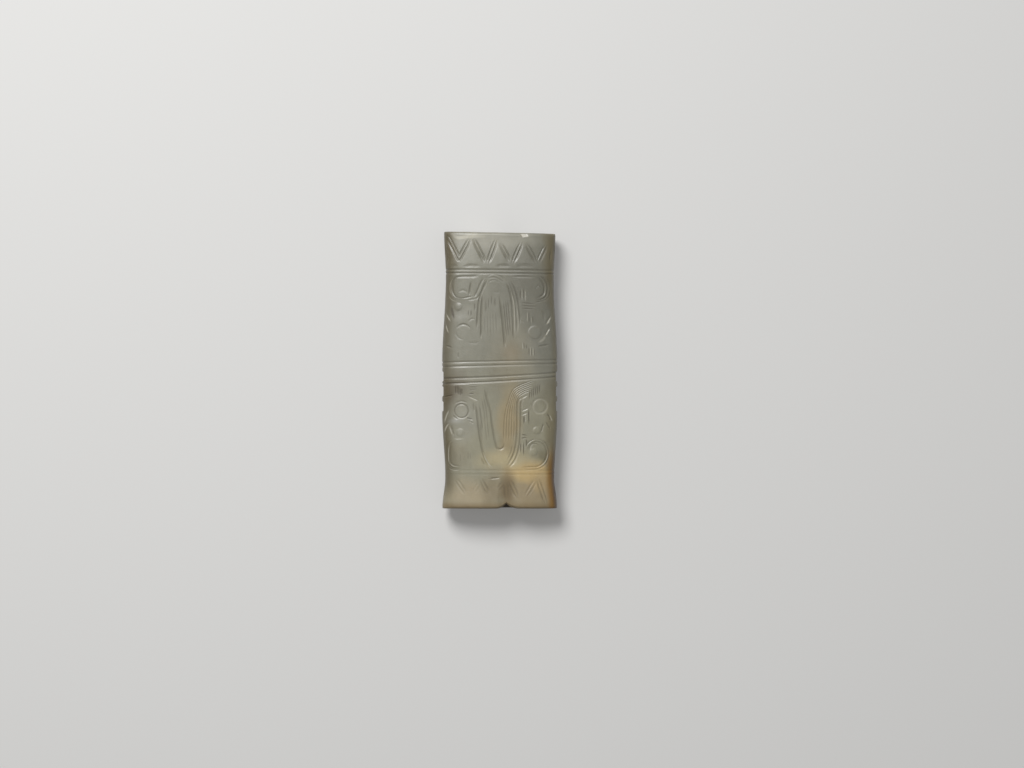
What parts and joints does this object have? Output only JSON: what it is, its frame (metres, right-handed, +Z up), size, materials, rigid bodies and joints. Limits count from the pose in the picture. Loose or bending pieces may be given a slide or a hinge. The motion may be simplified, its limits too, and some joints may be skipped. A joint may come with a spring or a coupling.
{
  "type": "jade pendant",
  "caption": "Flat, waisted bar of carved jade with a bore along it for a cord, V bands at both ends, girdle lines and notched long edges.",
  "frame": {"origin": "under the middle of the pendant's box, on the surface that it lies on", "axes": "+X across the pendant to the right of its front face, +Y along it to its top end, +Z up out of its front face"},
  "size_m": [0.0302, 0.0722, 0.0106],
  "materials": {
    "jade": "polished grey-green nephrite with amber and brown staining"
  },
  "bodies": {
    "root": {"jade_body": "jade"}
  },
  "joints": []
}
